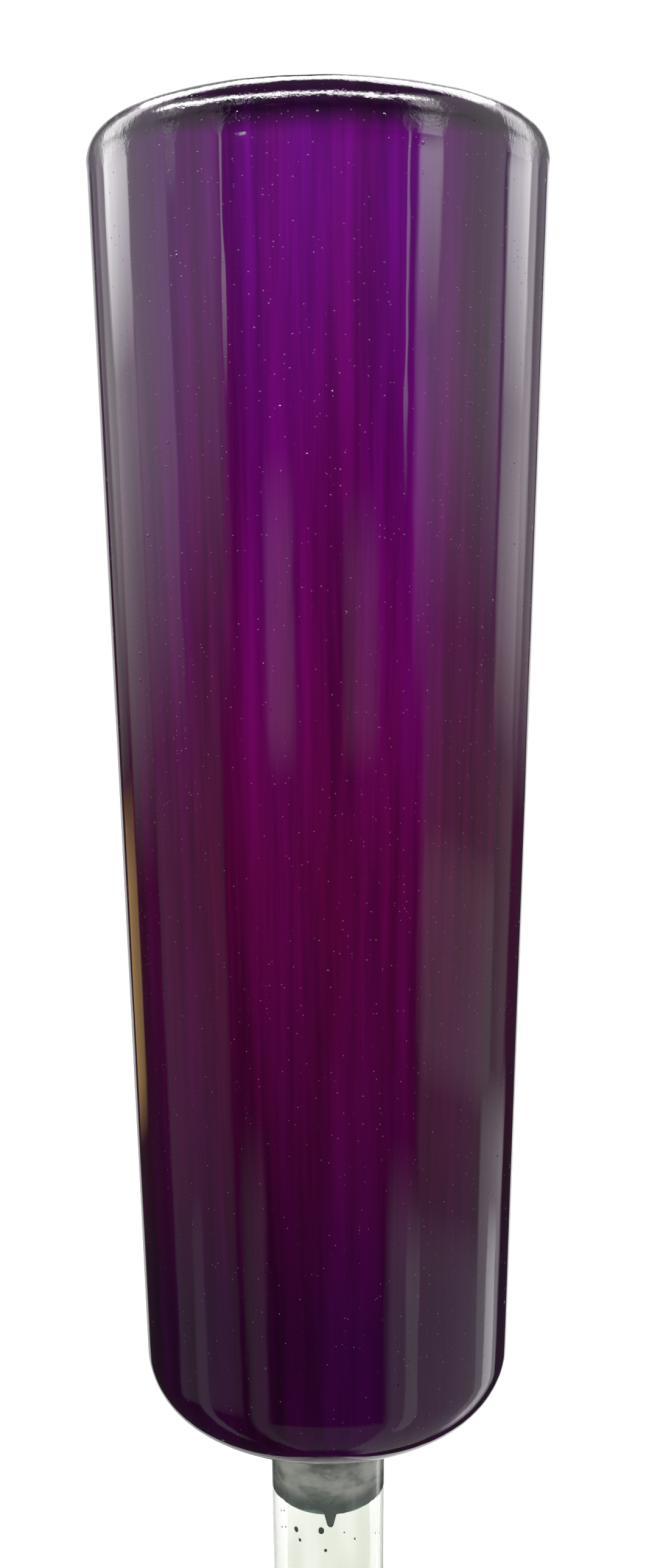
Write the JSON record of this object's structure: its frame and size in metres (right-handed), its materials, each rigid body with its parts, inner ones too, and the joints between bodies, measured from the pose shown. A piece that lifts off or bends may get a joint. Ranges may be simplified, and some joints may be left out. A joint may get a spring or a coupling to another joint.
{
  "type": "juggling club",
  "caption": "Juggling club: glossy purple tapered drum body with a domed cap, on a clear tubular handle with a rubber knob.",
  "frame": {"origin": "middle of the knob's underside, the club's lowest point when it is held upright", "axes": "+Z along the club's axis from the knob up to the crown; X and Y across it, along the two cross pins in the handle"},
  "size_m": [0.0947, 0.0947, 0.52],
  "materials": {
    "lacquer": "gloss",
    "clear_plastic": "gloss",
    "ferrule_plastic": "satin",
    "cover_plastic": "gloss",
    "inner_plastic": "matte",
    "knob_rubber": "satin",
    "seal_rubber": "matte",
    "dowel_wood": "satin",
    "disc_wood": "matte",
    "collar_aluminium": "satin",
    "screw_steel": "satin",
    "washer_steel": "satin"
  },
  "bodies": {
    "root": {"body_shell": "lacquer", "top_cap": "lacquer", "well_cover": "cover_plastic", "mouth_ring": "inner_plastic", "cap_gasket": "seal_rubber", "cap_washer": "washer_steel", "cap_screw": "screw_steel", "dowel_damper": "seal_rubber", "core_dowel": "dowel_wood", "dowel_ferrule": "ferrule_plastic", "centring_disc": "disc_wood", "handle_tube": "clear_plastic", "handle_pins": "screw_steel", "clamp_ring": "inner_plastic", "grub_screws": "screw_steel", "neck_gasket": "seal_rubber", "neck_collar": "collar_aluminium", "collar_screws": "screw_steel", "knob": "knob_rubber", "knob_insert": "dowel_wood", "insert_pin": "screw_steel", "knob_washer": "washer_steel", "knob_screw": "screw_steel"}
  },
  "joints": []
}
